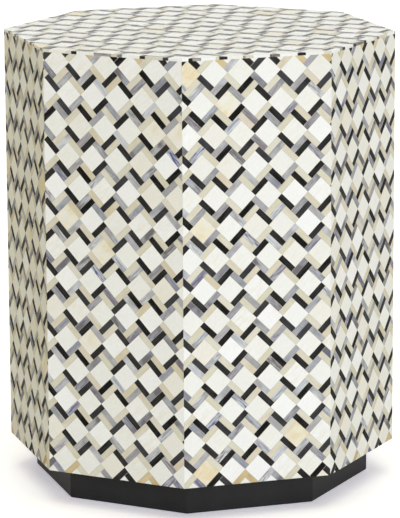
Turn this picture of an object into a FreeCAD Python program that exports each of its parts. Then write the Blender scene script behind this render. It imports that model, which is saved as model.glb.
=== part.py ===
# Octagonal side table: a mitred drum of boards faced with bone inlay, standing on a recessed plinth.
import FreeCAD, Part
import math
import os

# Overall sizes, in millimetres
across_flats = 406.0            # outside of the inlaid drum, flat to flat
table_height = 508.0            # floor to the top of the inlay
plinth_visible_height = 38.0    # floor to the underside of the drum
plinth_setback = 27.0           # each plinth face stands in this far from the drum's face

# Inlay sheets: bone tiles set in resin
inlay_thickness = 3.0

# Boards of the drum
side_board_thickness = 15.0
top_board_thickness = 18.0
bottom_board_thickness = 15.0
bottom_lip = 12.0               # side board left below the bottom board
bottom_groove_depth = 5.0       # how far the bottom board is let into the side boards

# Loose splines that lock the mitres of the side boards
spline_thickness = 3.0
spline_width = 8.0

# Cleats inside the drum that hold the top board down
cleat_height = 20.0
cleat_depth = 18.0
cleat_end_gap = 6.0             # from a cleat's end to the line where the next cleat would meet it
cleat_screw_inset = 25.0        # from a cleat's end to its screw

# Plinth
plinth_board_thickness = 18.0
plinth_edge_ease = 1.0          # flat taken off the lower outer edge
plinth_corner_round = 4.0       # the mitred corners are sanded round
block_height = 32.0
block_gap = 40.0                # bare plinth board between two corner blocks
block_back = 8.0                # straight part of a corner block behind its slanted faces

# Felt pads under the plinth
pad_diameter = 10.0
pad_thickness = 1.0
pad_setback = 6.0               # from the plinth's face to the edge of a pad, so that no pad shows

# Countersunk wood screws
screw_diameter = 4.0
screw_head_diameter = 8.0
screw_head_height = 2.2
screw_point_length = 5.0
screw_cover = 4.0               # board left over the point of a screw
recess_width = 0.9              # cross recess in the screw's head
recess_span = 4.4
recess_depth = 1.2

# Clearance left around a piece in its groove or hole
fit = 0.1

# The octagon
SIDES = 8
SIDE_TURN = 360.0 / SIDES
CORNER_TURN = SIDE_TURN / 2.0
CORNER_SLOPE = math.tan(math.radians(CORNER_TURN))
CORNER_REACH = 1.0 / math.cos(math.radians(CORNER_TURN))

# Distances from the table's upright axis to the flats of each layer
inlay_outer = across_flats / 2.0
side_outer = inlay_outer - inlay_thickness
side_inner = side_outer - side_board_thickness
groove_outer = side_inner + bottom_groove_depth
cleat_inner = side_inner - cleat_depth
plinth_outer = inlay_outer - plinth_setback
plinth_inner = plinth_outer - plinth_board_thickness

# Heights of each layer above the floor
top_inlay_low = table_height - inlay_thickness
top_board_low = top_inlay_low - top_board_thickness
cleat_low = top_board_low - cleat_height
drum_low = plinth_visible_height
bottom_board_low = drum_low + bottom_lip
bottom_board_high = bottom_board_low + bottom_board_thickness
block_low = bottom_board_low - block_height

# Sizes that follow from the ones above
spline_radius = (groove_outer + side_outer) / 2.0 * CORNER_REACH
cleat_length = 2.0 * (cleat_inner * CORNER_SLOPE - cleat_end_gap)
cleat_screw_place = cleat_length / 2.0 - cleat_screw_inset
cleat_screw_depth = side_inner - cleat_depth / 2.0
cleat_screw_length = cleat_height + top_board_thickness - screw_cover
plinth_inner_corner = plinth_inner * CORNER_REACH
block_leg = plinth_inner * CORNER_SLOPE - block_gap / 2.0
block_half_width = block_leg * math.cos(math.radians(CORNER_TURN))
block_slant_depth = block_leg * math.sin(math.radians(CORNER_TURN))
block_depth = block_slant_depth + block_back
block_screw_radius = plinth_inner_corner - block_depth / 2.0
block_screw_length = block_height + bottom_board_thickness - screw_cover
pad_radius = plinth_outer - pad_setback - pad_diameter / 2.0

UP = FreeCAD.Vector(0, 0, 1)
ORIGIN = FreeCAD.Vector(0, 0, 0)


def prism(points, low, high):
    """An upright solid over a closed outline of (x, y) points."""
    corners = [FreeCAD.Vector(x, y, low) for x, y in points]
    outline = Part.makePolygon(corners + corners[:1])
    return Part.Face(outline).extrude(UP * (high - low))


def box(width, depth, low, high, distance):
    """An upright block at the front, centred on a distance from the table's axis."""
    near = -distance - depth / 2.0
    far = near + depth
    half = width / 2.0
    return prism([(-half, near), (half, near), (half, far), (-half, far)], low, high)


def octagon(half_across, low, high):
    """A whole octagonal slab with a flat to the front."""
    reach = half_across * CORNER_REACH
    points = []
    for side in range(SIDES):
        turn = math.radians(CORNER_TURN + side * SIDE_TURN)
        points.append((reach * math.cos(turn), reach * math.sin(turn)))
    return prism(points, low, high)


def mitred_board(inner, outer, low, high):
    """One front board of an octagonal ring, its ends cut to the mitre."""
    wide = outer * CORNER_SLOPE
    narrow = inner * CORNER_SLOPE
    return prism([(-wide, -outer), (wide, -outer), (narrow, -inner), (-narrow, -inner)], low, high)


def turned(shape, degrees):
    """A copy of a front shape, turned about the table's axis."""
    copy = shape.copy()
    copy.rotate(ORIGIN, UP, degrees)
    return copy


def around(shape, first_turn=0.0):
    """Eight copies of a front shape, one for each side or corner."""
    return [turned(shape, first_turn + side * SIDE_TURN) for side in range(SIDES)]


def screw_body(length, extra):
    """A countersunk screw with its head down at z = 0, grown all round by extra."""
    shank = screw_diameter / 2.0 + extra
    head = Part.makeCone(screw_head_diameter / 2.0 + extra, shank, screw_head_height)
    stem_top = length - screw_point_length
    stem = Part.makeCylinder(shank, stem_top - screw_head_height, UP * screw_head_height)
    point = Part.makeCone(shank, 0.0, screw_point_length + extra, UP * stem_top)
    return head.fuse([stem, point]).removeSplitter()


def screw(length):
    """A countersunk wood screw with a cross recess in its head."""
    body = screw_body(length, 0.0)
    for turn in (0.0, 90.0):
        slot = box(recess_span, recess_width, 0.0, recess_depth, 0.0)
        body = body.cut(turned(slot, turn))
    return body


def moved(shape, x, distance, low):
    """A copy of a shape stood at the front, at a distance from the table's axis."""
    copy = shape.copy()
    copy.translate(FreeCAD.Vector(x, -distance, low))
    return copy


def spline(extra):
    """A mitre spline at a front corner, grown by extra in its thickness and width."""
    width = spline_width + 2.0 * extra
    thickness = spline_thickness + 2.0 * extra
    return box(width, thickness, drum_low, top_board_low, spline_radius)


def make_side_board():
    """A side board with its groove for the bottom board and a spline groove in each mitre."""
    board = mitred_board(side_inner, side_outer, drum_low, top_board_low)
    board = board.cut(octagon(groove_outer, bottom_board_low, bottom_board_high + fit))
    for corner in (-CORNER_TURN, CORNER_TURN):
        board = board.cut(turned(spline(fit), corner))
    return board


def cleat_screws_at(length, extra):
    """The two screws of the front cleat."""
    body = screw(length) if extra == 0.0 else screw_body(length, extra)
    places = (-cleat_screw_place, cleat_screw_place)
    return [moved(body, x, cleat_screw_depth, cleat_low) for x in places]


def make_cleat():
    """A cleat under the top board, drilled for its two screws."""
    middle = side_inner - cleat_depth / 2.0
    cleat = box(cleat_length, cleat_depth, cleat_low, top_board_low, middle)
    return cleat.cut(cleat_screws_at(cleat_screw_length, fit))


def make_top_board():
    """The top board, drilled from below for the cleat screws."""
    board = octagon(side_outer, top_board_low, top_inlay_low)
    for hole in cleat_screws_at(cleat_screw_length, fit):
        board = board.cut(around(hole))
    return board


def block_screw_at(extra):
    """The screw of the front corner block."""
    body = screw(block_screw_length) if extra == 0.0 else screw_body(block_screw_length, extra)
    return moved(body, 0.0, block_screw_radius, block_low)


def make_block():
    """A plinth corner block that fits the inside of a front corner, drilled for its screw."""
    tip = -plinth_inner_corner
    shoulder = tip + block_slant_depth
    back = tip + block_depth
    points = [
        (0.0, tip),
        (block_half_width, shoulder),
        (block_half_width, back),
        (-block_half_width, back),
        (-block_half_width, shoulder),
    ]
    return prism(points, block_low, bottom_board_low).cut(block_screw_at(fit))


def make_bottom_board():
    """The bottom board, let into the side boards and drilled for the plinth screws."""
    board = octagon(groove_outer - fit, bottom_board_low, bottom_board_high)
    return board.cut(around(block_screw_at(fit), CORNER_TURN))


def make_plinth_board():
    """A plinth board, its corners rounded and its lower outer edge eased with those of its neighbours."""
    whole = octagon(plinth_outer, pad_thickness, bottom_board_low)
    middle = (pad_thickness + bottom_board_low) / 2.0
    upright = [edge for edge in whole.Edges if abs(edge.CenterOfMass.z - middle) < fit]
    whole = whole.makeFillet(plinth_corner_round, upright)
    lower = [edge for edge in whole.Edges if abs(edge.CenterOfMass.z - pad_thickness) < fit]
    whole = whole.makeChamfer(plinth_edge_ease, lower)
    return whole.common(mitred_board(plinth_inner, plinth_outer, pad_thickness, bottom_board_low))


def make_pad():
    """A round felt pad under the middle of the front plinth board."""
    return Part.makeCylinder(pad_diameter / 2.0, pad_thickness, FreeCAD.Vector(0, -pad_radius, 0))


def save(name, shape):
    """Write one piece, or a group of like pieces, to its own file."""
    shape.exportStep(os.path.join("parts", name + ".step"))
    print(name, "solids", len(shape.Solids), "volume", round(shape.Volume, 1), "valid", shape.isValid())


def save_numbered(name, shapes):
    """Write the eight copies of a piece, numbered from the front face round to its right."""
    for number, shape in enumerate(shapes, 1):
        save(name + "_" + str(number), shape)


os.makedirs("parts", exist_ok=True)

save("top_inlay", octagon(inlay_outer, top_inlay_low, table_height))
save_numbered("side_inlay", around(mitred_board(side_outer, inlay_outer, drum_low, top_inlay_low)))
save("top_board", make_top_board())
save_numbered("side_board", around(make_side_board()))
save_numbered("mitre_spline", around(spline(0.0), CORNER_TURN))
save("bottom_board", make_bottom_board())
save_numbered("top_cleat", around(make_cleat()))
save_numbered("plinth_board", around(make_plinth_board()))
save_numbered("plinth_block", around(make_block(), CORNER_TURN))

cleat_screws = []
for piece in cleat_screws_at(cleat_screw_length, 0.0):
    cleat_screws.extend(around(piece))
save("cleat_screws", Part.makeCompound(cleat_screws))
save("plinth_screws", Part.makeCompound(around(block_screw_at(0.0), CORNER_TURN)))
save("felt_pads", Part.makeCompound(around(make_pad())))
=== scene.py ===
# %% [markdown]
# # An octagonal side table in bone inlay
#
# The table is a closed drum with eight sides, covered on its sides and its top with small tiles of
# polished bone. White squares stand on their corners in rows, and strips of cream, grey and near-black
# run round them like a basket weave. The drum stands on a plinth painted black, set well back so that
# it is in shadow.
#
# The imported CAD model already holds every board, screw and pad at its place, so it is loaded first and
# never moved. What Blender adds is the finish of each surface and the thousands of tiles, which CAD
# holds only as plain sheets.

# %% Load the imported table
import math

import bmesh
import bpy
from mathutils import Matrix, Quaternion, Vector


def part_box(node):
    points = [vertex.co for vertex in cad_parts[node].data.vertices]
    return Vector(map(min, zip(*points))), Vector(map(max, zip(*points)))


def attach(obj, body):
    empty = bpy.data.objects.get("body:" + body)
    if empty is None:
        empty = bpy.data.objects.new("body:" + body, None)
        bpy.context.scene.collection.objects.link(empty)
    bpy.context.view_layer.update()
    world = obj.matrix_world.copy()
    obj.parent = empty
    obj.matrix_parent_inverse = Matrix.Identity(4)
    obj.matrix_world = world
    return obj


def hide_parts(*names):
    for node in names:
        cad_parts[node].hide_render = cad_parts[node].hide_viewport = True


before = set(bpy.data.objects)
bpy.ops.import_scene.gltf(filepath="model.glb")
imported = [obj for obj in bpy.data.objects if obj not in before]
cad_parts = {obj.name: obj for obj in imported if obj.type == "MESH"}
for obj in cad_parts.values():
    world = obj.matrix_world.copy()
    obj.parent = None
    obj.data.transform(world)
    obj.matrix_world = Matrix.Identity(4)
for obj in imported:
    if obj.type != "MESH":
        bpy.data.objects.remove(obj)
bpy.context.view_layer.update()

# %% [markdown]
# ## Sizes that come from the CAD model
#
# A size could be typed in again here, but then the tiles and the boards could drift apart. Each one is
# read from the box of a CAD piece instead. The front face looks along minus Y, so the top sheet's reach
# in Y is the distance from the table's upright axis to every flat, and the width of a face follows from
# the octagon.

# %% Read the drum's sizes
MM = 0.001
SIDES = 8
HALF_TURN = math.pi / SIDES   # half the angle between two faces, 22.5 degrees

top_low, top_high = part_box("top_inlay")
side_low, side_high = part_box("side_inlay_1")
flat_reach = top_high.y
table_height = top_high.z
sheet_thickness = top_high.z - top_low.z
drum_low = side_low.z
drum_high = side_high.z
face_width = 2 * flat_reach * math.tan(HALF_TURN)
print("flat to flat %.1f mm, each face %.1f mm wide" % (2 * flat_reach / MM, face_width / MM))
print("sheets %.1f mm thick" % (sheet_thickness / MM))
print("sides from %.0f to %.0f mm" % (drum_low / MM, drum_high / MM))

# %% [markdown]
# ## Two helpers
#
# Colours are written as the hex values that a paint chart or a photo editor shows, and Blender computes
# in linear light, so one function turns the first into the second. Materials and Geometry Nodes trees
# are both made of nodes, and a node is always the same three moves: add it, choose its settings, then
# fill or link its inputs. Another function does that for every node in this file. A colour ramp also has
# stops, which are no inputs, so they are given as a list of places from 0 to 1 and hex colours.

# %% Read a colour, and add a node
def colour(code):
    """An sRGB hex colour as the linear colour that Blender's sockets hold."""
    channels = [int(code[at:at + 2], 16) / 255 for at in (1, 3, 5)]
    linear = [c / 12.92 if c <= 0.04045 else ((c + 0.055) / 1.055) ** 2.4 for c in channels]
    return (*linear, 1.0)


def add_node(tree, kind, inputs=None, stops=(), **settings):
    """Adds one node, sets it up, and links or fills its inputs, each given by name or by number."""
    node = tree.nodes.new(kind)
    for setting, value in settings.items():
        setattr(node, setting, value)
    for number, (place, code) in enumerate(stops):
        elements = node.color_ramp.elements
        element = elements[number] if number < 2 else elements.new(place)
        element.position = place
        element.color = colour(code)
    for place, value in (inputs or {}).items():
        if isinstance(place, str):
            socket = next(s for s in node.inputs if s.name == place and s.enabled)
        else:
            socket = node.inputs[place]
        if isinstance(value, bpy.types.NodeSocket):
            tree.links.new(value, socket)
        else:
            socket.default_value = value
    return node


print("mid grey in linear light", [round(c, 3) for c in colour("#808080")[:3]])

# %% [markdown]
# ## Polished bone
#
# The white tiles are bleached bone, sawn flat, glued down, sanded and polished. The strips are the same
# bone, left cream or stained grey and ochre, and the dark ones are horn or bone stained black. No two
# pieces have quite the same colour, and each has fine streaks along the length that it was sawn in. A
# single colour for each kind would look printed.
#
# So every tile will carry two attributes of its own: grain, its own flat coordinates with X along its
# length, and tile_tone, a random number. The tone picks the tile's colour from a ramp, where it drifts
# a little in slow patches, and the grain draws streaks that stop at the tile's edge. A third attribute,
# dullness, is the same on a whole sheet: it says how far the sheet was polished.
#
# One function makes all the bone finishes, and only the colours and the strength of the streaks change
# from one to the next.

# %% Start a finish, and end it
NOISE_SPAN = {"From Min": 0.3, "From Max": 0.7}       # nearly all of a noise lies between these


def start_finish(name):
    """A new material and its empty node tree."""
    material = bpy.data.materials.new(name)
    material.use_nodes = True
    tree = material.node_tree
    tree.nodes.clear()
    print("finish:", name)
    return material, tree


def end_finish(tree, inputs):
    """Ends a material in its surface shader: even values on its own sockets, patterns linked to them."""
    surface = add_node(tree, "ShaderNodeBsdfPrincipled", inputs)
    add_node(tree, "ShaderNodeOutputMaterial", {"Surface": surface.outputs["BSDF"]})


print("noise is read from %(From Min).1f to %(From Max).1f" % NOISE_SPAN)

# %% Marks in the bone
# Length, width and depth of a mark. Streaks are really 0.3 mm wide and pores finer still: both are drawn
# coarser, so that they show at the photo's distance
PATCH = (14 * MM, 14 * MM, 14 * MM)
STREAK = (12 * MM, 2.4 * MM, 2.4 * MM)
PORE = (3.6 * MM, 0.9 * MM, 0.9 * MM)
NOISE_SHIFT = (91.0, 57.0, 23.0)      # a tone of one moves a tile this far through the noises


def bone_marks(tree, tone):
    """Noises for slow patches, long streaks and fine pores, with each tile in its own part of them."""
    grain = add_node(tree, "ShaderNodeAttribute", attribute_name="grain").outputs["Vector"]
    shift = add_node(tree, "ShaderNodeVectorMath", {0: NOISE_SHIFT, "Scale": tone}, operation="SCALE")
    noises = []
    for mark, detail in ((PATCH, 1.0), (STREAK, 2.0), (PORE, 2.0)):
        marks_per_metre = [1 / size for size in mark]
        spot = add_node(tree, "ShaderNodeVectorMath", {
            0: grain, 1: marks_per_metre, 2: shift.outputs[0]}, operation="MULTIPLY_ADD")
        noise = add_node(tree, "ShaderNodeTexNoise", {
            "Vector": spot.outputs[0], "Scale": 1.0, "Detail": detail})
        noises.append(noise.outputs["Fac"])
    return noises


print("streaks %.1f mm wide, pores %.1f mm" % (STREAK[1] / MM, PORE[1] / MM))

# %% Colour of a bone tile
SECOND_DRAW = 37.31           # a tone times this, less its whole part, is a second random number
STREAK_SPAN = {"From Min": 0.45, "From Max": 0.62}    # noise without a streak, and with a full one
LEAST_STREAK = 0.5            # the plainest tile's share of the streaks


def bone_colour(tree, tone, patch, streak, tones, drift, streaks, streak_amount):
    """A tile's own tone, drifting in patches, with streaks of a second colour along its grain."""
    change = add_node(tree, "ShaderNodeMapRange", {
        **NOISE_SPAN, "Value": patch, "To Min": -drift, "To Max": drift})
    drifted = add_node(tree, "ShaderNodeMath", {0: tone, 1: change.outputs[0]}, operation="ADD")
    tile_colour = add_node(tree, "ShaderNodeValToRGB", {"Fac": drifted.outputs[0]}, stops=tones)

    # A second random number from the first: it decides how streaky this tile is, and in which colour
    larger = add_node(tree, "ShaderNodeMath", {0: tone, 1: SECOND_DRAW}, operation="MULTIPLY")
    second = add_node(tree, "ShaderNodeMath", {0: larger.outputs[0]}, operation="FRACT").outputs[0]
    streak_colour = add_node(tree, "ShaderNodeValToRGB", {"Fac": second}, stops=streaks)
    strength = add_node(tree, "ShaderNodeMapRange", {
        **STREAK_SPAN, "Value": streak, "To Max": streak_amount})
    share = add_node(tree, "ShaderNodeMapRange", {
        "Value": second, "To Min": LEAST_STREAK, "To Max": 1.0})
    uneven = add_node(tree, "ShaderNodeMath", {
        0: strength.outputs[0], 1: share.outputs[0]}, operation="MULTIPLY")
    streaked = add_node(tree, "ShaderNodeMix", {
        "Factor": uneven.outputs[0],
        "A": tile_colour.outputs["Color"],
        "B": streak_colour.outputs["Color"],
    }, data_type="RGBA")
    return streaked.outputs["Result"]


print("the plainest tile has %.0f%% of the streaks" % (100 * LEAST_STREAK))

# %% Finish of one kind of bone
BONE_IOR = 1.54
BONE_SHINE = 0.06             # specular level, low because the bone is oiled and not lacquered
PORE_LIGHT = (0.965, 1.025)   # pores darken and lighten the colour to these shares
PORE_DULLNESS = 0.12          # roughness that pores add to the polish
PORE_DEPTH = 0.03 * MM


def bone_finish(name, tones, drift, streaks, streak_amount):
    """Bone rubbed to a soft shine, with a tone of its own on each tile and streaks along its grain."""
    material, tree = start_finish(name)
    tone = add_node(tree, "ShaderNodeAttribute", attribute_name="tile_tone").outputs["Fac"]
    patch, streak, pore = bone_marks(tree, tone)
    tile_colour = bone_colour(tree, tone, patch, streak, tones, drift, streaks, streak_amount)

    # The pores lighten and darken the surface a little, and roughen the polish
    darkest, lightest = PORE_LIGHT
    light = add_node(tree, "ShaderNodeMapRange", {
        **NOISE_SPAN, "Value": pore, "To Min": darkest, "To Max": lightest})
    shaded = add_node(tree, "ShaderNodeHueSaturation", {"Value": light.outputs[0], "Color": tile_colour})
    dull = add_node(tree, "ShaderNodeAttribute", attribute_name="dullness").outputs["Fac"]
    rough = add_node(tree, "ShaderNodeMapRange", {**NOISE_SPAN, "Value": pore, "To Max": PORE_DULLNESS})
    gloss = add_node(tree, "ShaderNodeMath", {0: dull, 1: rough.outputs[0]}, operation="ADD")
    bump = add_node(tree, "ShaderNodeBump", {"Strength": 0.2, "Distance": PORE_DEPTH, "Height": pore})
    end_finish(tree, {
        "Base Color": shaded.outputs[0], "Roughness": gloss.outputs[0], "Normal": bump.outputs[0],
        "IOR": BONE_IOR, "Specular IOR Level": BONE_SHINE})
    return material


print("bone has an IOR of", BONE_IOR)

# %% The bone finishes on this table
# Bleached bone: nearly white, clouded with ivory, a rare tile amber where the bone lay near the marrow
white_bone = bone_finish(
    "bleached bone",
    tones=[(0.0, "#F7F8F6"), (0.3, "#F2F3EF"), (0.6, "#F0F1EA"), (0.8, "#EDEDE7"), (0.94, "#EEEBDF"),
           (0.975, "#EBE6CE"), (1.0, "#E8D9B2")],
    drift=0.03,
    streaks=[(0.0, "#F8F9F7"), (0.5, "#F1EEE2"), (1.0, "#EADFC2")],
    streak_amount=0.4)
# Natural bone: beige, some pieces greenish, some pink, with soft brown lines
cream_bone = bone_finish(
    "natural cream bone",
    tones=[(0.0, "#DFDCCC"), (0.35, "#DCD8C5"), (0.7, "#D8D4BD"), (0.88, "#DDD5C3"), (1.0, "#D8CEB2")],
    drift=0.12,
    streaks=[(0.0, "#E8E5D9"), (0.5, "#D0C8AB"), (1.0, "#D0C2A6")],
    streak_amount=0.45)
# Grey-stained bone: the stain follows the grain, so it breaks into blue, lavender and taupe lines
grey_bone = bone_finish(
    "grey stained bone",
    tones=[(0.0, "#747175"), (0.12, "#8D8C8E"), (0.28, "#9A9EA4"), (0.45, "#AAACAD"), (0.6, "#A8A4A5"),
           (0.78, "#B8BBBE"), (1.0, "#D2D5D6")],
    drift=0.3,
    streaks=[(0.0, "#D8D7D3"), (0.25, "#807E84"), (0.5, "#838AA3"), (0.68, "#CDD0D6"),
             (0.85, "#877B7F"), (1.0, "#5F6596")],
    streak_amount=1.0)
# Top grey bone: a plainer, warmer copy of the stained grey; its warmth is a painted warm reflection on
# the top
top_grey_painted_warm_reflection = bone_finish(
    "top grey bone with painted warm reflection",
    tones=[(0.0, "#6D6B66"), (0.3, "#8C8A85"), (0.6, "#A19F98"), (1.0, "#BDBBB2")],
    drift=0.2,
    streaks=[(0.0, "#CDCBC4"), (0.5, "#7A7873"), (1.0, "#636168")],
    streak_amount=0.9)
# Ochre-stained bone: a warm tan, only in the border courses
ochre_bone = bone_finish(
    "ochre stained bone",
    tones=[(0.0, "#DCCBA2"), (0.5, "#D3BF93"), (1.0, "#C9B384")],
    drift=0.15,
    streaks=[(0.0, "#E6DABB"), (1.0, "#B19A6C")],
    streak_amount=0.5)
# Black horn: dense and dark, some strips fading to charcoal along the grain
black_horn = bone_finish(
    "polished black horn",
    tones=[(0.0, "#151514"), (0.35, "#232322"), (0.7, "#2F2F2F"), (1.0, "#434347")],
    drift=0.15,
    streaks=[(0.0, "#3A3A3C"), (1.0, "#434248")],
    streak_amount=0.4)

# %% [markdown]
# ## The resin between the tiles
#
# The gaps between the tiles are filled with a pale resin mixed with bone dust, then sanded flush. It is
# matt next to the bone and slightly darker, because dirt stays in it. It fills no shape of its own, so
# it reads plain Object coordinates.

# %% Finish of the resin
DUST_SIZE = 1.5 * MM          # clumps of bone dust, drawn coarse so that they show
# Bone dust resin: a dull, mottled beige line between the tiles
resin, resin_tree = start_finish("bone dust resin")
place = add_node(resin_tree, "ShaderNodeTexCoord").outputs["Object"]
dust = add_node(resin_tree, "ShaderNodeTexNoise", {
    "Vector": place, "Scale": 1 / DUST_SIZE, "Detail": 2.0})
dust_colour = add_node(resin_tree, "ShaderNodeValToRGB", {"Fac": dust.outputs["Fac"]}, stops=[
    (0.3, "#B9B09C"), (0.7, "#D3CBB8")])
end_finish(resin_tree, {"Base Color": dust_colour.outputs["Color"], "Roughness": 0.62, "IOR": 1.5})

# %% [markdown]
# ## Laying the tiles with Geometry Nodes
#
# Each face has about four hundred and fifty tiles, and they follow one rule, so a node tree lays them.
# The rule: squares touch corner to corner in rows, every other row is moved half a step sideways, and
# each square carries a strip along each of its four sides. The strips are as long as a square is wide.
# Two of the four reach past the square's corner, and that is what makes the weave. The colours go
# cream, grey, black along the row, starting one later on each side of the square.
#
# Copying the tiles in a loop would work too. The tree is shorter to change: its named inputs are the
# square, the strip, the seam and the start of the pattern, and the same tree lays all nine sheets.

# %% Name the sheet's inputs
TILE_COLOURS = ("White", "Cream", "Grey", "Black", "Ochre")
sheet_inputs = {
    "NodeSocketFloat": (
        "Square side", "Strip width", "Seam", "Thickness", "Eased edge",
        "Lean", "Rise", "Turn", "Dullness"),
    "NodeSocketInt": ("Columns", "Columns before", "Rows", "Rows before", "Border shift", "Seed"),
    "NodeSocketBool": ("Border courses",),
    "NodeSocketVector": ("Stretch", "Start"),
    "NodeSocketMaterial": TILE_COLOURS,
}
inlay = bpy.data.node_groups.new("bone inlay sheet", "GeometryNodeTree")
for kind, names in sheet_inputs.items():
    for name in names:
        inlay.interface.new_socket(name, in_out="INPUT", socket_type=kind)
inlay.interface.new_socket("Sheet", in_out="OUTPUT", socket_type="NodeSocketGeometry")
given = add_node(inlay, "NodeGroupInput").outputs
print("the inlay tree has", sum(len(names) for names in sheet_inputs.values()), "inputs")

# %% [markdown]
# ### One tile
#
# A tile is a small block whose upper edges are eased by the sanding. A Bevel modifier on thousands of
# tiles would be slow, so the block is made with three layers of corners: the top layer is drawn in by
# the width of the eased edge, and the middle layer is lifted almost to the top. That leaves ten faces.
# The tile's top lies at height zero, and the corner positions are kept as the grain before the tile is
# turned into place.

# %% Shape one tile
def tile_shape(length, width):
    """A block with eased upper edges in the tree, its long side along X and its top at height zero."""
    long_side = add_node(inlay, "ShaderNodeMath", {0: length, 1: given["Seam"]}, operation="SUBTRACT")
    short_side = add_node(inlay, "ShaderNodeMath", {0: width, 1: given["Seam"]}, operation="SUBTRACT")
    size = add_node(inlay, "ShaderNodeCombineXYZ", {
        "X": long_side.outputs[0], "Y": short_side.outputs[0], "Z": given["Thickness"]})
    block = add_node(inlay, "GeometryNodeMeshCube", {
        "Size": size.outputs[0], "Vertices X": 2, "Vertices Y": 2, "Vertices Z": 3})

    # The sign of a corner's position tells which way is out, and its layer: 1 top, 0 middle, -1 bottom
    position = add_node(inlay, "GeometryNodeInputPosition").outputs[0]
    sign = add_node(inlay, "ShaderNodeVectorMath", {0: position}, operation="SIGN")
    way = add_node(inlay, "ShaderNodeSeparateXYZ", {0: sign.outputs[0]}).outputs

    # The top layer goes in by the eased edge. The middle layer goes to the eased edge's depth below
    # height zero, and the other two go down by half the thickness, because the block starts centred
    is_top = add_node(inlay, "ShaderNodeMath", {0: way["Z"], 1: 0.0}, operation="MAXIMUM")
    inward = add_node(inlay, "ShaderNodeMath", {
        0: is_top.outputs[0], 1: given["Eased edge"]}, operation="MULTIPLY")
    is_outer = add_node(inlay, "ShaderNodeMath", {0: way["Z"]}, operation="ABSOLUTE")
    half = add_node(inlay, "ShaderNodeMath", {0: given["Thickness"], 1: 2.0}, operation="DIVIDE")
    drop = add_node(inlay, "ShaderNodeMix", {
        "Factor": is_outer.outputs[0], "A": given["Eased edge"], "B": half.outputs[0]}, data_type="FLOAT")
    step = add_node(inlay, "ShaderNodeCombineXYZ", {
        "X": inward.outputs[0], "Y": inward.outputs[0], "Z": drop.outputs["Result"]})
    outward = add_node(inlay, "ShaderNodeCombineXYZ", {"X": way["X"], "Y": way["Y"], "Z": 1.0})
    growth = add_node(inlay, "ShaderNodeVectorMath", {
        0: step.outputs[0], 1: outward.outputs[0]}, operation="MULTIPLY")
    offset = add_node(inlay, "ShaderNodeVectorMath", {
        0: growth.outputs[0], "Scale": -1.0}, operation="SCALE")
    eased = add_node(inlay, "GeometryNodeSetPosition", {
        "Geometry": block.outputs["Mesh"], "Offset": offset.outputs[0]})
    return add_node(inlay, "GeometryNodeStoreNamedAttribute", {
        "Geometry": eased.outputs[0], "Name": "grain", "Value": position,
    }, data_type="FLOAT_VECTOR", domain="POINT").outputs[0]


square_tile = tile_shape(given["Square side"], given["Square side"])
strip_tile = tile_shape(given["Square side"], given["Strip width"])
print("tile shapes made:", len(inlay.nodes), "nodes so far")

# %% [markdown]
# ### Where the squares stand
#
# One point for each square. Its number gives its row and its place in the row, and from those come its
# position and whether its row is one of the moved ones. A square on its corner is its side times the
# root of two across, which is the step along a row. The step from row to row is half of that, plus two
# strips laid at forty-five degrees.

# %% Points for the squares
ROOT_TWO = math.sqrt(2)
count = add_node(inlay, "ShaderNodeMath", {0: given["Columns"], 1: given["Rows"]}, operation="MULTIPLY")
index = add_node(inlay, "GeometryNodeInputIndex").outputs[0]
column = add_node(inlay, "FunctionNodeIntegerMath", {
    0: index, 1: given["Columns"]}, operation="MODULO").outputs[0]
row = add_node(inlay, "FunctionNodeIntegerMath", {
    0: index, 1: given["Columns"]}, operation="DIVIDE_FLOOR").outputs[0]
moved_row = add_node(inlay, "FunctionNodeIntegerMath", {0: row, 1: 2}, operation="MODULO").outputs[0]

# Along the row: the column, and half a step more in a moved row
half_step = add_node(inlay, "ShaderNodeMath", {0: moved_row, 1: 2.0}, operation="DIVIDE")
steps = add_node(inlay, "ShaderNodeMath", {0: column, 1: given["Columns before"]}, operation="SUBTRACT")
across = add_node(inlay, "ShaderNodeMath", {
    0: steps.outputs[0], 1: half_step.outputs[0]}, operation="ADD")
row_step = add_node(inlay, "ShaderNodeMath", {
    0: given["Square side"], 1: ROOT_TWO}, operation="MULTIPLY")
x = add_node(inlay, "ShaderNodeMath", {
    0: across.outputs[0], 1: row_step.outputs[0]}, operation="MULTIPLY")

# Down the sheet: the row
two_strips = add_node(inlay, "ShaderNodeMath", {
    0: given["Strip width"], 1: 2 * ROOT_TWO}, operation="MULTIPLY")
row_drop = add_node(inlay, "ShaderNodeMath", {
    0: row_step.outputs[0], 1: 0.5, 2: two_strips.outputs[0]}, operation="MULTIPLY_ADD")
rows_up = add_node(inlay, "ShaderNodeMath", {0: given["Rows before"], 1: row}, operation="SUBTRACT")
y = add_node(inlay, "ShaderNodeMath", {
    0: rows_up.outputs[0], 1: row_drop.outputs[0]}, operation="MULTIPLY")
centre = add_node(inlay, "ShaderNodeCombineXYZ", {"X": x.outputs[0], "Y": y.outputs[0], "Z": 0.0})
squares = add_node(inlay, "GeometryNodePoints", {
    "Count": count.outputs[0], "Position": centre.outputs[0]}).outputs[0]
print("points placed by row and column:", len(inlay.nodes), "nodes so far")

# %% [markdown]
# ### The border courses
#
# Along the upper and lower edge of a side, the weave stops at one layer of strips, and small white
# triangles fill the rest up to the edge. So the first and the last row are told apart here: their outer
# strips get colours of their own, and beyond those lie border squares, which the edge later cuts to
# triangles. The top of the table has no border, so an input can turn it off.

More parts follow.
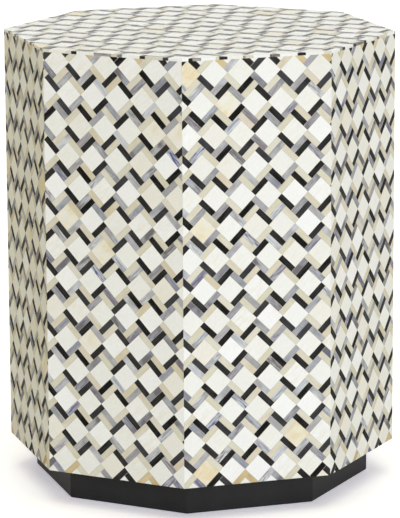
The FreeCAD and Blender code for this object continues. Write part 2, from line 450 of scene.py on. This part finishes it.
# %% Tell the border rows apart
last_row = add_node(inlay, "FunctionNodeIntegerMath", {0: given["Rows"], 1: 1}, operation="SUBTRACT")
row_tests = []
for border_row in (0, last_row.outputs[0]):
    same = add_node(inlay, "FunctionNodeCompare", {
        "A": row, "B": border_row}, data_type="INT", operation="EQUAL")
    both = add_node(inlay, "FunctionNodeBooleanMath", {
        0: same.outputs[0], 1: given["Border courses"]}, operation="AND")
    row_tests.append(both.outputs[0])
upper_border, lower_border = row_tests
print(len(row_tests), "border rows found by number")

# %% [markdown]
# ### Colours along a row
#
# The tile colours have numbers: 0 white, 1 cream, 2 grey, 3 black, 4 ochre. In the weave the number
# follows from the column by counting in threes. In the border courses the maker used up odd strips, so
# those follow short lists.

# %% Number the colours
WHITE, CREAM, GREY, BLACK, OCHRE = range(len(TILE_COLOURS))
WEAVE = (CREAM, GREY, BLACK)


def weave_colour(first, moved):
    """Cream, grey, black along a row, starting at one place in plain rows and another in moved rows."""
    change = add_node(inlay, "FunctionNodeIntegerMath", {
        0: moved_row, 1: moved - first, 2: column}, operation="MULTIPLY_ADD")
    start = add_node(inlay, "FunctionNodeIntegerMath", {
        0: change.outputs[0], 1: first + len(WEAVE)}, operation="ADD")
    third = add_node(inlay, "FunctionNodeIntegerMath", {
        0: start.outputs[0], 1: len(WEAVE)}, operation="MODULO")
    return add_node(inlay, "FunctionNodeIntegerMath", {
        0: third.outputs[0], 1: WEAVE[0]}, operation="ADD").outputs[0]


def listed_colour(colours, shift):
    """The colours of a border course, repeated along it from a shift."""
    start = add_node(inlay, "FunctionNodeIntegerMath", {0: column, 1: shift}, operation="ADD")
    turn = add_node(inlay, "FunctionNodeIntegerMath", {
        0: start.outputs[0], 1: len(colours)}, operation="MODULO")
    pick = add_node(inlay, "GeometryNodeIndexSwitch", {"Index": turn.outputs[0]}, data_type="INT")
    while len(pick.index_switch_items) < len(colours):
        pick.index_switch_items.new()
    for at, number in enumerate(colours, 1):
        pick.inputs[at].default_value = number
    return pick.outputs[0]


def strip_colour(first, moved, border, colours, shift):
    """The colour of a strip: by the weave, or in a border row by that border's list."""
    return add_node(inlay, "GeometryNodeSwitch", {
        "Switch": border,
        "False": weave_colour(first, moved),
        "True": listed_colour(colours, shift),
    }, input_type="INT").outputs[0]


print(len(WEAVE), "colours in the weave")

# %% Colours of the strips
upper_rising = [BLACK, CREAM, GREY]
# Mixes of left-over strips in about the photo's shares, repeated along a side from its border shift
upper_falling = [BLACK, OCHRE, BLACK, BLACK, OCHRE, OCHRE, BLACK, OCHRE]
lower_rising = [BLACK, OCHRE, GREY, CREAM, BLACK, GREY, OCHRE, CREAM]
lower_falling = [GREY, BLACK, OCHRE, GREY, BLACK, BLACK, GREY, CREAM]
border_shift = given["Border shift"]
upper_left = strip_colour(2, 1, upper_border, upper_rising, 0)
upper_right = strip_colour(1, 0, upper_border, upper_falling, border_shift)
lower_left = strip_colour(1, 2, lower_border, lower_falling, border_shift)
lower_right = strip_colour(0, 1, lower_border, lower_rising, border_shift)
print("border lists of", len(upper_rising), "and", len(lower_rising), "strips")

# %% [markdown]
# ### Laying each kind of tile
#
# Every kind of tile has its place beside each square, given along the two slopes: so many squares and
# so many strips up the rising slope, and so many down the falling one. The weave changes hands from
# layer to layer, as in a basket: over a plain row the falling strips are pushed on by one strip width,
# and over a moved row the rising ones. So the strips are counted twice, once for plain rows and once
# for moved rows. A hand-laid tile is never quite straight, so each turns by a fraction of a degree.

# %% Lay one kind of tile beside every square
SLIP = 0.15                   # degrees that a tile may be out of line
SLIP_SEED = 100               # keeps the draws for the angle apart from those for the tone


def lay_kind(tile, rising, falling, slope, rows, kind, seed):
    """Puts a tile beside each square: rising and falling count squares, then strips by kind of row."""
    per_square, plain, moved = (
        ((r + f) / ROOT_TWO, (r - f) / ROOT_TWO, 0.0) for r, f in zip(rising, falling))
    by_square = add_node(inlay, "ShaderNodeVectorMath", {
        0: per_square, "Scale": given["Square side"]}, operation="SCALE")
    strips = add_node(inlay, "ShaderNodeMix", {
        "Factor": moved_row, "A": plain, "B": moved}, data_type="VECTOR")
    by_strip = add_node(inlay, "ShaderNodeVectorMath", {
        0: strips.outputs["Result"], "Scale": given["Strip width"]}, operation="SCALE")
    offset = add_node(inlay, "ShaderNodeVectorMath", {
        0: by_square.outputs[0], 1: by_strip.outputs[0]}, operation="ADD")
    places = add_node(inlay, "GeometryNodeSetPosition", {
        "Geometry": squares, "Offset": offset.outputs[0]})

    # Colour and tone are kept on the points, because tiles are numbered afresh where rows are left out
    tone_seed = add_node(inlay, "FunctionNodeIntegerMath", {
        0: given["Seed"], 1: seed}, operation="ADD").outputs[0]
    tone = add_node(inlay, "FunctionNodeRandomValue", {
        "Min": 0.0, "Max": 1.0, "Seed": tone_seed}, data_type="FLOAT")
    toned = add_node(inlay, "GeometryNodeStoreNamedAttribute", {
        "Geometry": places.outputs[0], "Name": "tile_tone", "Value": tone.outputs[1],
    }, data_type="FLOAT", domain="POINT")
    coloured = add_node(inlay, "GeometryNodeStoreNamedAttribute", {
        "Geometry": toned.outputs[0], "Name": "tile_kind", "Value": kind,
    }, data_type="INT", domain="POINT")

    slip_seed = add_node(inlay, "FunctionNodeIntegerMath", {0: tone_seed, 1: SLIP_SEED}, operation="ADD")
    angle = add_node(inlay, "FunctionNodeRandomValue", {
        "Min": math.radians(slope - SLIP),
        "Max": math.radians(slope + SLIP),
        "Seed": slip_seed.outputs[0],
    }, data_type="FLOAT")
    turn = add_node(inlay, "ShaderNodeCombineXYZ", {"X": 0.0, "Y": 0.0, "Z": angle.outputs[1]})
    return add_node(inlay, "GeometryNodeInstanceOnPoints", {
        "Points": coloured.outputs[0],
        "Selection": rows,
        "Instance": tile,
        "Rotation": turn.outputs[0],
    }).outputs[0]


print("tiles lie straight to within", SLIP, "degrees")

# %% Lay the weave and the borders
RISING, FALLING = 45, -45
kinds = [
    (square_tile, (0, 0, 0), (0, 0, 0), RISING, True, WHITE),
    (strip_tile, (0, 0, 1), (-0.5, -0.5, -0.5), RISING, True, upper_left),
    (strip_tile, (0.5, 0.5, 0.5), (0, -1, 0), FALLING, True, upper_right),
    (strip_tile, (-0.5, -0.5, -0.5), (0, 0, 1), FALLING, True, lower_left),
    (strip_tile, (0, -1, 0), (0.5, 0.5, 0.5), RISING, True, lower_right),
    (square_tile, (1, 1, 1), (0, -1, -1), RISING, upper_border, WHITE),
    (square_tile, (-1, -1, -1), (0, 1, 1), RISING, lower_border, WHITE),
]
all_tiles = add_node(inlay, "GeometryNodeJoinGeometry")
for seed, kind in enumerate(kinds):
    inlay.links.new(lay_kind(*kind, seed), all_tiles.inputs[0])
print(len(kinds), "kinds of tile laid")

# %% [markdown]
# ### From tiles to a sheet
#
# The instances become real tiles. A hand-laid sheet is seldom quite square, so the whole sheet may be
# stretched a little, lean sideways up its height, and rise along its width. Then it goes to its start
# on the face, and each tile gets the material of its colour number.

# %% Finish the sheet in the tree
real = add_node(inlay, "GeometryNodeRealizeInstances", {"Geometry": all_tiles.outputs[0]})
spot = add_node(inlay, "GeometryNodeInputPosition").outputs[0]
stretched = add_node(inlay, "ShaderNodeVectorMath", {0: spot, 1: given["Stretch"]}, operation="MULTIPLY")
part = add_node(inlay, "ShaderNodeSeparateXYZ", {0: spot}).outputs
lean = add_node(inlay, "ShaderNodeMath", {0: part["Y"], 1: given["Lean"]}, operation="MULTIPLY")
rise = add_node(inlay, "ShaderNodeMath", {0: part["X"], 1: given["Rise"]}, operation="MULTIPLY")
slope = add_node(inlay, "ShaderNodeCombineXYZ", {"X": lean.outputs[0], "Y": rise.outputs[0], "Z": 0.0})
skewed = add_node(inlay, "GeometryNodeSetPosition", {
    "Geometry": real.outputs[0], "Position": stretched.outputs[0], "Offset": slope.outputs[0]})
turn = add_node(inlay, "ShaderNodeCombineXYZ", {"X": 0.0, "Y": 0.0, "Z": given["Turn"]})
started = add_node(inlay, "GeometryNodeTransform", {
    "Geometry": skewed.outputs[0], "Translation": given["Start"], "Rotation": turn.outputs[0]})
sheet = add_node(inlay, "GeometryNodeStoreNamedAttribute", {
    "Geometry": started.outputs[0], "Name": "dullness", "Value": given["Dullness"],
}, data_type="FLOAT", domain="POINT").outputs[0]
tile_kind = add_node(inlay, "GeometryNodeInputNamedAttribute", {
    "Name": "tile_kind"}, data_type="INT").outputs[0]
for number, name in enumerate(TILE_COLOURS):
    chosen = add_node(inlay, "FunctionNodeCompare", {
        "A": tile_kind, "B": number}, data_type="INT", operation="EQUAL")
    sheet = add_node(inlay, "GeometryNodeSetMaterial", {
        "Geometry": sheet, "Selection": chosen.outputs[0], "Material": given[name]}).outputs[0]
add_node(inlay, "NodeGroupOutput", {"Sheet": sheet})
print("the inlay tree is complete:", len(inlay.nodes), "nodes")

# %% [markdown]
# ## Trimming a sheet to its face
#
# The maker lays tiles past the edge and cuts them off flush, so the edge shows sliced tiles. The same is
# done here: the tree lays more than the face needs, and each edge cuts it as a plane. A Boolean would
# give the same, but on thousands of separate tiles it is slow and may leave holes. Cutting with planes
# and closing each cut is exact. The resin is a plain slab cut by the same planes, a little further in,
# so that the tiles stand a hair proud of it.

# %% Cut closed shapes back to planes
CUT_SLACK = 1e-7              # metres within which a corner counts as lying on a cut


def trim(shapes, planes, inset):
    """Cuts closed shapes to the inner side of each plane, moved in by an inset, and closes every cut."""
    for point, normal in planes:
        everything = shapes.verts[:] + shapes.edges[:] + shapes.faces[:]
        cut = bmesh.ops.bisect_plane(
            shapes, geom=everything, dist=CUT_SLACK,
            plane_co=point - normal * inset, plane_no=normal, clear_outer=True)
        rim = [e for e in cut["geom_cut"] if isinstance(e, bmesh.types.BMEdge) and e.is_boundary]
        for cap in bmesh.ops.holes_fill(shapes, edges=rim)["faces"]:
            beside = next(f for e in cap.edges for f in e.link_faces if f is not cap)
            cap.material_index = beside.material_index


print("cuts are exact to", CUT_SLACK, "m")

# %% Tiles from the tree, and the resin under them
SEAM = 0.15 * MM              # resin showing between two tiles
EASED = 0.12 * MM             # width of an edge that the sanding took off
PROUD = 0.05 * MM             # tiles stand this far out of the resin
SLAB_SIZE = 1.2               # metres, more than any sheet is long


def laid_tiles(piece, inputs):
    """The tiles that the tree lays for one sheet, as a plain mesh."""
    modifier = piece.modifiers.new("inlay", "NODES")
    modifier.node_group = inlay
    for item in inlay.interface.items_tree:
        if item.in_out == "INPUT":
            modifier[item.identifier] = inputs[item.name]
    evaluated = piece.evaluated_get(bpy.context.evaluated_depsgraph_get())
    mesh = bpy.data.meshes.new_from_object(evaluated)
    mesh.materials.pop(index=0)       # the tree leaves an empty slot in front of its materials
    piece.modifiers.remove(modifier)
    return mesh


def resin_bed(planes, slot):
    """A slab of resin trimmed to a sheet's planes, a hair smaller than the tiles, in a material slot."""
    slab = bmesh.new()
    bmesh.ops.create_cube(slab, size=SLAB_SIZE)
    trim(slab, planes, PROUD)
    lid = (Vector((0, 0, -PROUD)), Vector((0, 0, 1)))
    base = (Vector((0, 0, -sheet_thickness)), Vector((0, 0, -1)))
    trim(slab, [lid, base], 0.0)
    bmesh.ops.recalc_face_normals(slab, faces=slab.faces[:])
    for face in slab.faces:
        face.material_index = slot
    bed = bpy.data.meshes.new("resin bed")
    slab.to_mesh(bed)
    slab.free()
    return bed


print("tiles stand %.2f mm out of the resin, seams %.2f mm" % (PROUD / MM, SEAM / MM))

# %% Put one sheet together
def sheet_piece(name, node, planes, place, inputs):
    """One inlay sheet instead of a CAD node: tiles trimmed to the planes, on a bed of resin."""
    piece = bpy.data.objects.new(name, bpy.data.meshes.new("bare sheet"))
    bpy.context.scene.collection.objects.link(piece)
    mesh = laid_tiles(piece, inputs)
    mesh.materials.append(resin)
    bed = resin_bed(planes, len(mesh.materials) - 1)

    tiles = bmesh.new()
    tiles.from_mesh(mesh)
    trim(tiles, planes, 0.0)
    bmesh.ops.recalc_face_normals(tiles, faces=tiles.faces[:])
    tiles.from_mesh(bed)
    open_edges = sum(edge.is_boundary for edge in tiles.edges)
    tiles.to_mesh(mesh)
    tiles.free()

    bare = piece.data
    piece.data = mesh
    for spare in (bare, bed):
        bpy.data.meshes.remove(spare)
    mesh.name = name
    mesh.transform(place)
    print(name, len(mesh.polygons), "faces,", open_edges, "open edges,", len(mesh.materials), "materials")
    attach(piece, "root")
    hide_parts(node)


# %% [markdown]
# ## The eight sides
#
# The photo shows four sides, and on each the pattern starts at its own place and leans its own way,
# because each sheet was laid by hand on its own board. Those starts were measured. The four sides behind
# can't be seen, so they repeat the measured ones in another order. A sheet is built lying flat, with X
# along the face and Y up from the floor, then stood up and turned round the table's axis to its side.

# %% Where the pattern starts on each side
SQUARE_SIDE = 21.09 * MM
STRIP_WIDTH = 6.64 * MM
# The first square's centre from the face's left and upper edge in mm, the sheet's stretch across and
# down, its lean and rise as slopes, and where it starts in the border lists
front_right = {
    "first": (6.2, 17.3), "stretch": (0.999, 0.998), "lean": -0.0085, "rise": 0.0051, "border": 21}
front_left = {
    "first": (16.8, 12.2), "stretch": (1.001, 1.007), "lean": 0.0267, "rise": -0.0191, "border": 3}
left_side = {
    "first": (6.5, 17.4), "stretch": (1.020, 1.006), "lean": 0.0120, "rise": 0.0205, "border": 15}
right_side = {
    "first": (9.5, 12.8), "stretch": (0.990, 1.015), "lean": -0.0040, "rise": -0.0080, "border": 10}
side_sheets = [
    front_right, right_side, left_side, front_left,
    right_side, front_right, left_side, front_left]
tile_inputs = {
    "Square side": SQUARE_SIDE, "Strip width": STRIP_WIDTH, "Seam": SEAM,
    "Thickness": sheet_thickness, "Eased edge": EASED, "White": white_bone, "Cream": cream_bone,
    "Grey": grey_bone, "Black": black_horn, "Ochre": ochre_bone}
print("pattern starts for", len(side_sheets), "sides")

# %% The planes that bound a side
MITRE_GAP = 0.04 * MM         # each mitre stands back this far, so that neighbouring sheets don't touch
ARRIS = 0.08 * MM             # how far the sanding takes back the sharp corner between two sheets
sine, cosine = math.sin(HALF_TURN), math.cos(HALF_TURN)
half_face = face_width / 2
side_planes = [
    (Vector((0, drum_high, 0)), Vector((0, 1, 0))),
    (Vector((0, drum_low, 0)), Vector((0, -1, 0))),
]
for way in (-1, 1):
    corner = Vector((way * half_face, 0, 0))
    mitre = Vector((way * cosine, 0, -sine))
    arris = Vector((way * sine, 0, cosine))
    side_planes.append((corner - mitre * MITRE_GAP, mitre))
    side_planes.append((corner - arris * ARRIS, arris))
lower_edge = Vector((0, -1, 1)).normalized()
side_planes.append((Vector((0, drum_low, 0)) - lower_edge * EASED, lower_edge))
print(len(side_planes), "planes trim each side")

# %% Lay the eight sides
SIDE_DULLNESS = 0.62          # roughness of the sides, sanded and oiled
SEED_STEP = 200               # keeps the draws of the sides apart
stand_up = Matrix(((1, 0, 0, 0), (0, 0, -1, -flat_reach), (0, 1, 0, 0), (0, 0, 0, 1)))
for side, laid in enumerate(side_sheets):
    first_x, first_y = laid["first"]
    place = Matrix.Rotation(side * 2 * HALF_TURN, 4, "Z") @ stand_up
    sheet_piece("bone_inlay_side_%d" % (side + 1), "side_inlay_%d" % (side + 1), side_planes, place, {
        **tile_inputs, "Columns": 11, "Columns before": 3, "Rows": 14, "Rows before": 0,
        "Border courses": True, "Border shift": laid["border"],
        "Stretch": (*laid["stretch"], 1.0), "Lean": laid["lean"], "Rise": laid["rise"],
        "Start": (first_x * MM - half_face, table_height - first_y * MM, 0.0), "Turn": 0.0,
        "Seed": SEED_STEP * side, "Dullness": SIDE_DULLNESS})

# %% [markdown]
# ## The top
#
# The same weave covers the top, but it winds the other way, so its sheet is laid mirrored from front to
# back. It has no border: the edge of the octagon cuts it wherever it falls. The photo shows where: the
# start and a turn of one degree were measured. The sheet's three millimetre edge shows the sliced tiles,
# and the sharp rim is eased a little by the sanding.

# %% Lay the top
TOP_DULLNESS = 0.18           # the top is rubbed to a higher polish
TOP_START = (-21.0 * MM, 5.4 * MM, 0.0)       # a square's centre, from the middle of the top
TOP_TURN = math.radians(-1.0)
TOP_SEED = 5000
MIRRORED = (1.0, -1.0, 1.0)   # a stretch of minus one turns the weave's hand
top_planes = []
for side in range(SIDES):
    angle = side * 2 * HALF_TURN
    outward = Vector((math.sin(angle), -math.cos(angle), 0))
    rim = (outward + Vector((0, 0, 1))).normalized()
    top_planes.append((outward * flat_reach, outward))
    top_planes.append((outward * flat_reach - rim * EASED, rim))
# The top's grey strips take the warmer grey, whose warmth is a painted reflection
sheet_piece("bone_inlay_top", "top_inlay", top_planes, Matrix.Translation((0, 0, table_height)), {
    **tile_inputs, "Grey": top_grey_painted_warm_reflection, "Columns": 18, "Columns before": 9, "Rows": 16, "Rows before": 8,
    "Border courses": False, "Border shift": 0, "Stretch": MIRRORED, "Lean": 0.0, "Rise": 0.0,
    "Start": TOP_START, "Turn": TOP_TURN, "Seed": TOP_SEED, "Dullness": TOP_DULLNESS})

# %% [markdown]
# ## The black plinth
#
# The plinth boards are painted in a black satin lacquer. Paint that is rolled on has a fine orange-peel
# surface, and its sheen wanders in soft clouds. The CAD boards have the right shape, so they only get a
# finish.

# %% Finish of the plinth
PEEL_SIZE = 2.5 * MM          # the dimples that a roller leaves
PEEL_DEPTH = 0.05 * MM
CLOUD_SIZE = 45 * MM          # patches with more or less sheen
# Satin lacquer: an even black with a soft grey sheen
lacquer, paint_tree = start_finish("black satin lacquer")
place = add_node(paint_tree, "ShaderNodeTexCoord").outputs["Object"]
peel = add_node(paint_tree, "ShaderNodeTexNoise", {
    "Vector": place, "Scale": 1 / PEEL_SIZE, "Detail": 2.0})
cloud = add_node(paint_tree, "ShaderNodeTexNoise", {
    "Vector": place, "Scale": 1 / CLOUD_SIZE, "Detail": 3.0})
black_paint = add_node(paint_tree, "ShaderNodeValToRGB", {"Fac": cloud.outputs["Fac"]}, stops=[
    (0.3, "#2F2F2F"), (0.7, "#353535")])
sheen = add_node(paint_tree, "ShaderNodeMapRange", {
    **NOISE_SPAN, "Value": cloud.outputs["Fac"], "To Min": 0.40, "To Max": 0.52})
peel_bump = add_node(paint_tree, "ShaderNodeBump", {
    "Strength": 0.25, "Distance": PEEL_DEPTH, "Height": peel.outputs["Fac"]})
end_finish(paint_tree, {
    "Base Color": black_paint.outputs["Color"], "Roughness": sheen.outputs[0],
    "Normal": peel_bump.outputs[0], "IOR": 1.5, "Specular IOR Level": 0.05})


def dress(names, material):
    """Gives CAD pieces a finish: every piece whose name starts with one of the names."""
    dressed = [node for name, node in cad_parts.items() if name.startswith(names)]
    for node in dressed:
        node.data.materials.clear()
        node.data.materials.append(material)
    print(material.name, "on", len(dressed), "pieces")


dress(("plinth_board",), lacquer)

# %% [markdown]
# ## Boards under the inlay
#
# The drum is fibreboard, which shows only from below: its surface is pressed smooth, light brown, and
# flecked with darker fibres. The flecks are a noise at the size of a fibre bundle, over slow clouds.

# %% Finish of the fibreboard
FIBRE_SIZE = 2.2 * MM         # a bundle of fibres
FIBRE_DEPTH = 0.08 * MM
BOARD_CLOUD = 90 * MM         # slow changes of brown across a board
CLOUD_SHARE = 0.3             # how much the clouds count beside the fibres
# Fibreboard: a dull, even brown with short dark flecks
fibreboard, board_tree = start_finish("raw fibreboard")
place = add_node(board_tree, "ShaderNodeTexCoord").outputs["Object"]
fibres = add_node(board_tree, "ShaderNodeTexNoise", {
    "Vector": place, "Scale": 1 / FIBRE_SIZE, "Detail": 5.0, "Roughness": 0.65})
clouds = add_node(board_tree, "ShaderNodeTexNoise", {
    "Vector": place, "Scale": 1 / BOARD_CLOUD, "Detail": 2.0})
flecks = add_node(board_tree, "ShaderNodeMix", {
    "Factor": CLOUD_SHARE, "A": fibres.outputs["Fac"], "B": clouds.outputs["Fac"]}, data_type="FLOAT")
board_colour = add_node(board_tree, "ShaderNodeValToRGB", {"Fac": flecks.outputs["Result"]}, stops=[
    (0.3, "#8C6C49"), (0.5, "#A98861"), (0.72, "#BF9F78")])
board_bump = add_node(board_tree, "ShaderNodeBump", {
    "Strength": 0.3, "Distance": FIBRE_DEPTH, "Height": fibres.outputs["Fac"]})
end_finish(board_tree, {
    "Base Color": board_colour.outputs["Color"], "Roughness": 0.78, "IOR": 1.5,
    "Normal": board_bump.outputs[0]})
dress(("top_board", "bottom_board", "side_board"), fibreboard)

# %% [markdown]
# ## Battens, splines and blocks
#
# The small pieces inside are sawn softwood: pale yellow early wood between darker lines of late wood, a
# few millimetres apart. The lines come from noise squeezed across the grain, so that they wander as real
# ones do.

# %% Finish of the softwood
RING_GAP = 4 * MM             # from one line of late wood to the next
RING_RUN = 60 * MM            # how far a line runs before it wanders
SAW_DEPTH = 0.1 * MM
# Sawn softwood: pale yellow with browner lines, and no shine
softwood, wood_tree = start_finish("sawn softwood")
place = add_node(wood_tree, "ShaderNodeTexCoord").outputs["Object"]
squeezed = add_node(wood_tree, "ShaderNodeMapping", {
    "Vector": place, "Scale": (1 / RING_RUN, 1 / RING_RUN, 1 / RING_GAP)})
rings = add_node(wood_tree, "ShaderNodeTexNoise", {
    "Vector": squeezed.outputs[0], "Scale": 1.0, "Detail": 3.0})
wood_colour = add_node(wood_tree, "ShaderNodeValToRGB", {"Fac": rings.outputs["Fac"]}, stops=[
    (0.35, "#E0C596"), (0.55, "#D3B07C"), (0.68, "#B98A55")])
wood_bump = add_node(wood_tree, "ShaderNodeBump", {
    "Strength": 0.3, "Distance": SAW_DEPTH, "Height": rings.outputs["Fac"]})
end_finish(wood_tree, {
    "Base Color": wood_colour.outputs["Color"], "Roughness": 0.7, "IOR": 1.5,
    "Normal": wood_bump.outputs[0]})
dress(("mitre_spline", "top_cleat", "plinth_block"), softwood)

# %% [markdown]
# ## Screws and felt
#
# The screws are zinc-plated steel, bright but clouded. The pads under the plinth are dark wool felt,
# which has no shine at all but a soft light edge, because its fibres stand up.

# %% Finish of the screws
ZINC_CLOUD = 3 * MM           # patches in the plating
# Zinc plate: a bright grey metal with soft, clouded reflections
zinc, zinc_tree = start_finish("zinc plated steel")
place = add_node(zinc_tree, "ShaderNodeTexCoord").outputs["Object"]
clouded = add_node(zinc_tree, "ShaderNodeTexNoise", {
    "Vector": place, "Scale": 1 / ZINC_CLOUD, "Detail": 2.0})
zinc_colour = add_node(zinc_tree, "ShaderNodeValToRGB", {"Fac": clouded.outputs["Fac"]}, stops=[
    (0.3, "#A9ABAE"), (0.7, "#C9CBCC")])
zinc_gloss = add_node(zinc_tree, "ShaderNodeMapRange", {
    **NOISE_SPAN, "Value": clouded.outputs["Fac"], "To Min": 0.28, "To Max": 0.42})
end_finish(zinc_tree, {
    "Base Color": zinc_colour.outputs["Color"], "Roughness": zinc_gloss.outputs[0], "Metallic": 1.0})
dress(("cleat_screws", "plinth_screws"), zinc)

# %% Finish of the felt
FUZZ_SIZE = 0.6 * MM          # tufts, drawn coarser than single fibres so that they show
FUZZ_DEPTH = 0.2 * MM
# Wool felt: almost black, without shine, with a pale edge where fibres stand up
felt, felt_tree = start_finish("dark wool felt")
place = add_node(felt_tree, "ShaderNodeTexCoord").outputs["Object"]
fuzz = add_node(felt_tree, "ShaderNodeTexNoise", {
    "Vector": place, "Scale": 1 / FUZZ_SIZE, "Detail": 4.0})
felt_colour = add_node(felt_tree, "ShaderNodeValToRGB", {"Fac": fuzz.outputs["Fac"]}, stops=[
    (0.3, "#2A2724"), (0.7, "#3D3934")])
felt_bump = add_node(felt_tree, "ShaderNodeBump", {
    "Strength": 0.6, "Distance": FUZZ_DEPTH, "Height": fuzz.outputs["Fac"]})
end_finish(felt_tree, {
    "Base Color": felt_colour.outputs["Color"], "Roughness": 0.95, "Sheen Weight": 0.4,
    "Normal": felt_bump.outputs[0]})
dress(("felt_pads",), felt)

# %% [markdown]
# ## Floor and light
#
# The photo was taken against white, in a soft light from the front and from above, with the sides a
# little warmer and darker. A dim warm dome and three wide lamps give that: one in front, one above, and
# one behind for the four sides that the photo doesn't show. On the front face their shares add up to
# about one, so that a colour renders there about as it is written. The two low lamps are left out of
# reflections, because at a flat angle their glare would wash out the polished top.
#
# The floor is pale and takes the table's shadow. It glows a little, but only for rays that show it as it
# is, by eye or in a reflection, so it looks white and yet throws no extra light on the table. The white
# backdrop is made in the same way.

# %% The floor
FLOOR_REACH = 20.0            # metres from the middle to an edge
FLOOR_GLOW = 0.46             # what the floor needs beside its own light to look white


def seen_plainly(tree):
    """One for rays that show a thing by eye, in a mirror or through glass, zero for rays of its light."""
    rays = add_node(tree, "ShaderNodeLightPath").outputs
    mirrored = add_node(tree, "ShaderNodeMath", {
        0: rays["Is Camera Ray"], 1: rays["Is Glossy Ray"]}, operation="MAXIMUM")
    return add_node(tree, "ShaderNodeMath", {
        0: mirrored.outputs[0], 1: rays["Is Transmission Ray"]}, operation="MAXIMUM").outputs[0]


# Matt paint: a warm white that is lit unevenly only where the table shades it
floor_paint, floor_tree = start_finish("matt white floor")
glow = add_node(floor_tree, "ShaderNodeMath", {
    0: seen_plainly(floor_tree), 1: FLOOR_GLOW}, operation="MULTIPLY")
end_finish(floor_tree, {
    "Base Color": colour("#F8F4E4"), "Roughness": 0.9, "Specular IOR Level": 0.1,
    "Emission Color": colour("#EEF0FF"), "Emission Strength": glow.outputs[0]})
floor_mesh = bpy.data.meshes.new("floor")
corners = [(x * FLOOR_REACH, y * FLOOR_REACH, 0) for x, y in ((-1, -1), (1, -1), (1, 1), (-1, 1))]
floor_mesh.from_pydata(corners, [], [(0, 1, 2, 3)])
floor_mesh.materials.append(floor_paint)
floor = bpy.data.objects.new("floor", floor_mesh)
bpy.context.scene.collection.objects.link(floor)
print("floor", 2 * FLOOR_REACH, "m across")

# %% The dome of light
DOME_FRONT, DOME_BACK = 1.0, 3.0      # strength of the dome, which is brighter behind the table
world = bpy.data.worlds.new("studio dome")
bpy.context.scene.world = world
world.use_nodes = True
world_tree = world.node_tree
world_tree.nodes.clear()
sky = add_node(world_tree, "ShaderNodeTexCoord").outputs["Generated"]
behind = add_node(world_tree, "ShaderNodeSeparateXYZ", {0: sky}).outputs["Y"]
brighter = add_node(world_tree, "ShaderNodeMapRange", {
    "Value": behind, "To Min": DOME_FRONT, "To Max": DOME_BACK})
dome = add_node(world_tree, "ShaderNodeBackground", {
    "Color": colour("#65593F"), "Strength": brighter.outputs[0]})
backdrop = add_node(world_tree, "ShaderNodeBackground", {"Color": colour("#FFFFFF"), "Strength": 1.0})
sky_or_backdrop = add_node(world_tree, "ShaderNodeMixShader", {
    "Fac": seen_plainly(world_tree), 1: dome.outputs[0], 2: backdrop.outputs[0]})
add_node(world_tree, "ShaderNodeOutputWorld", {"Surface": sky_or_backdrop.outputs[0]})
print("dome of", len(world_tree.nodes), "nodes")

# %% The lamps
LAMP_DISTANCE = 3.0           # where a lamp is drawn, in metres: an even light has no real distance


def way_to(azimuth, elevation):
    """The direction from the table to an azimuth, counted from the front, and elevation in degrees."""
    turn, lift = math.radians(azimuth), math.radians(elevation)
    level = math.cos(lift)
    return Vector((math.sin(turn) * level, -math.cos(turn) * level, math.sin(lift)))


def soft_lamp(name, azimuth, elevation, softness, strength, tint, glare):
    """An even light as from a far softbox that looks softness degrees wide."""
    way = way_to(azimuth, elevation)
    lamp_data = bpy.data.lights.new(name, "SUN")
    lamp_data.angle = math.radians(softness)
    lamp_data.energy = strength
    lamp_data.color = colour(tint)[:3]
    lamp = bpy.data.objects.new(name, lamp_data)
    lamp.location = way * LAMP_DISTANCE
    lamp.visible_glossy = glare
    lamp.rotation_mode = "QUATERNION"
    lamp.rotation_quaternion = (-way).to_track_quat("-Z", "Y")
    bpy.context.scene.collection.objects.link(lamp)
    print(name, "strength", strength)


soft_lamp(
    "front lamp", azimuth=0, elevation=12, softness=30, strength=1.92, tint="#E7EDFF", glare=False)
soft_lamp(
    "back lamp", azimuth=157.5, elevation=8, softness=30, strength=1.6, tint="#DAE7FF", glare=False)
soft_lamp(
    "overhead lamp", azimuth=0, elevation=88, softness=60, strength=2.02, tint="#F2F7F8", glare=True)
bpy.context.scene.view_settings.view_transform = "Standard"

# %% [markdown]
# ## The camera
#
# The view was worked out from ten corners of the drum in the photo: a long lens from three and a half
# metres, a little left of the front face and twelve degrees above the horizon, and turned by a third of
# a degree.

# %% Place the camera
CAMERA_AZIMUTH = -17.753      # degrees from the front face
CAMERA_ELEVATION = 12.143     # degrees
CAMERA_ROLL = math.radians(-0.311)
CAMERA_DISTANCE = 3.6283      # metres
CAMERA_AIM = Vector((0.1 * MM, 0, 245.55 * MM))
SENSOR_SIZE = 36.0            # millimetres, along the picture's longer side
LENS = 221.88                 # millimetres
camera_data = bpy.data.cameras.new("photo camera")
camera_data.sensor_width = SENSOR_SIZE
camera_data.lens = LENS
camera = bpy.data.objects.new("photo camera", camera_data)
back = way_to(CAMERA_AZIMUTH, CAMERA_ELEVATION)
camera.location = CAMERA_AIM + back * CAMERA_DISTANCE
camera.rotation_mode = "QUATERNION"
camera.rotation_quaternion = (-back).to_track_quat("-Z", "Y") @ Quaternion((0, 0, 1), CAMERA_ROLL)
bpy.context.scene.collection.objects.link(camera)
bpy.context.scene.camera = camera
print("camera at", [round(v, 3) for v in camera.location])

# %% [markdown]
# ## Last update
#
# The dressed table has to be exactly as large as the CAD model. At the end the scene is brought up to
# date.

# %% Bring the scene up to date
bpy.context.view_layer.update()
